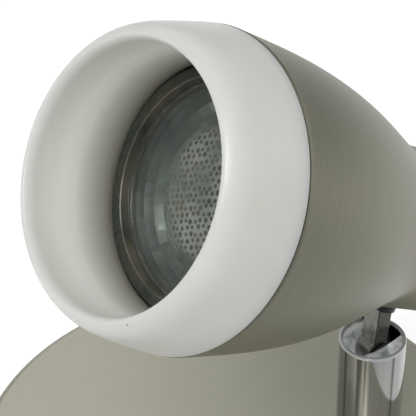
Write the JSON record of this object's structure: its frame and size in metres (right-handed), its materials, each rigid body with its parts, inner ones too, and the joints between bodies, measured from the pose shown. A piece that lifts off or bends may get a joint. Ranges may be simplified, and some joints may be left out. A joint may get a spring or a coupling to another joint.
{
  "type": "adjustable spot light",
  "caption": "Ceiling or wall spot light: round brushed canopy, off-centre swivelling chrome post, tilting bell-shaped head with opal front ring and twist-lock reflector lamp.",
  "frame": {"origin": "centre of the canopy's mounting plane, which is also the middle of the two slots in the mounting bracket", "axes": "+Z away from the mounting surface; X and Z lie in the plane of the head at rest, with the beam towards -X and +Z; the bracket's slots lie along Y"},
  "size_m": [0.123, 0.1276, 0.1556],
  "materials": {
    "brushed_nickel": "satin brushed nickel plating",
    "nickel_screw": "nickel-plated steel",
    "zinc_steel": "zinc-plated steel",
    "chrome": "mirror chrome plating",
    "fork_chrome": "dull plated die casting",
    "brass": "plain brass",
    "opal": "opal white, glossy, slightly translucent",
    "black_plastic": "moulded nylon",
    "rubber": "matt rubber",
    "black_sleeve": "heat-resistant sleeving",
    "wire_sleeve": "wire insulation",
    "white_plastic": "moulded polyamide",
    "ceramic": "unglazed steatite",
    "lamp_glass": "dark tinted reflector glass",
    "clear_glass": "clear glass",
    "lens": "dimpled optical plastic",
    "reflector": "bright metallised",
    "board": "plain aluminium",
    "pin_metal": "nickel-plated"
  },
  "bodies": {
    "base": {"canopy": "brushed_nickel", "mounting_bracket": "zinc_steel", "bracket_tabs": "zinc_steel", "canopy_screws": "nickel_screw", "terminal_block": "white_plastic", "terminal_screws": "brass", "earth_screw": "brass", "earth_washer": "zinc_steel", "stop_pin": "zinc_steel", "swivel_washer": "black_plastic", "canopy_leads": "wire_sleeve"},
    "post": {"post_tube": "chrome", "post_plug": "zinc_steel", "post_nipple": "zinc_steel", "spring_washer": "zinc_steel", "stop_washer": "zinc_steel", "swivel_nut": "brass", "pivot_fork": "fork_chrome", "pivot_pin": "zinc_steel", "friction_washers": "black_plastic", "post_leads": "wire_sleeve"},
    "head": {"head_shell": "brushed_nickel", "rear_cap": "brushed_nickel", "opal_ring": "opal", "ring_clip": "zinc_steel", "lead_grommet": "rubber", "head_lead": "black_sleeve", "neck_washer": "black_plastic", "tilt_tongue": "chrome", "tongue_screw": "zinc_steel", "holder_bracket": "zinc_steel", "holder_screws": "zinc_steel", "lampholder": "ceramic", "holder_contacts": "brass", "head_wires": "wire_sleeve"},
    "lamp": {"lamp_bowl": "lamp_glass", "lamp_front_glass": "clear_glass", "lamp_lens": "lens", "lamp_reflector": "reflector", "led_board": "board", "lamp_heat_sink": "board", "lamp_base": "ceramic", "lamp_pins": "pin_metal"}
  },
  "joints": [
    {"name": "post_swivel", "type": "hinge", "parent": "base", "child": "post", "pos_m": [0.0254, -0.0195, 0.025], "axis": [0, 0, 1], "range_deg": [-160, 160]},
    {"name": "head_tilt", "type": "hinge", "parent": "post", "child": "head", "pos_m": [0.0254, -0.0195, 0.0564], "axis": [0, 1, 0], "range_deg": [-46, 40]},
    {"name": "lamp_twist", "type": "hinge", "parent": "head", "child": "lamp", "pos_m": [0.01096, -0.0195, 0.10058], "axis": [-0.8508, 0, 0.5255], "range_deg": [0, 26]}
  ]
}
